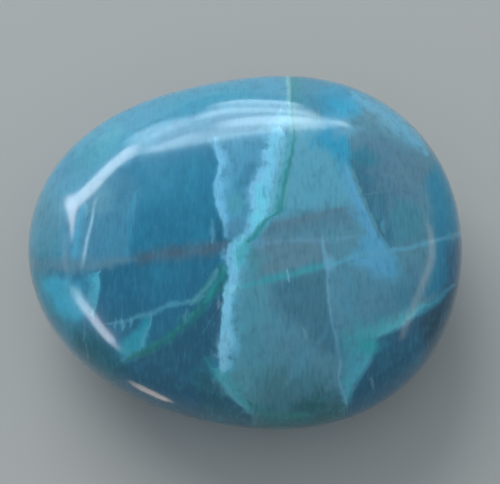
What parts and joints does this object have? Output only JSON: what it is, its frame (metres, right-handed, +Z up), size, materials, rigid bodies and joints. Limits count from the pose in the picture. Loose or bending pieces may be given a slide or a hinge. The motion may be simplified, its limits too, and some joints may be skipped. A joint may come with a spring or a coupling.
{
  "type": "polished chrysocolla stone",
  "caption": "Polished blue-green chrysocolla pebble: a flattened egg-shaped stone with a low domed top, rounded sides and a small flat spot that it rests on.",
  "frame": {"origin": "on the resting spot at the bottom, under the middle of the outline", "axes": "+Z up, +X along the length towards the blunt end, +Y towards the far long side"},
  "size_m": [0.0412, 0.0356, 0.017],
  "materials": {
    "chrysocolla": "high polish, slightly translucent"
  },
  "bodies": {
    "root": {"polished_stone": "chrysocolla"}
  },
  "joints": []
}
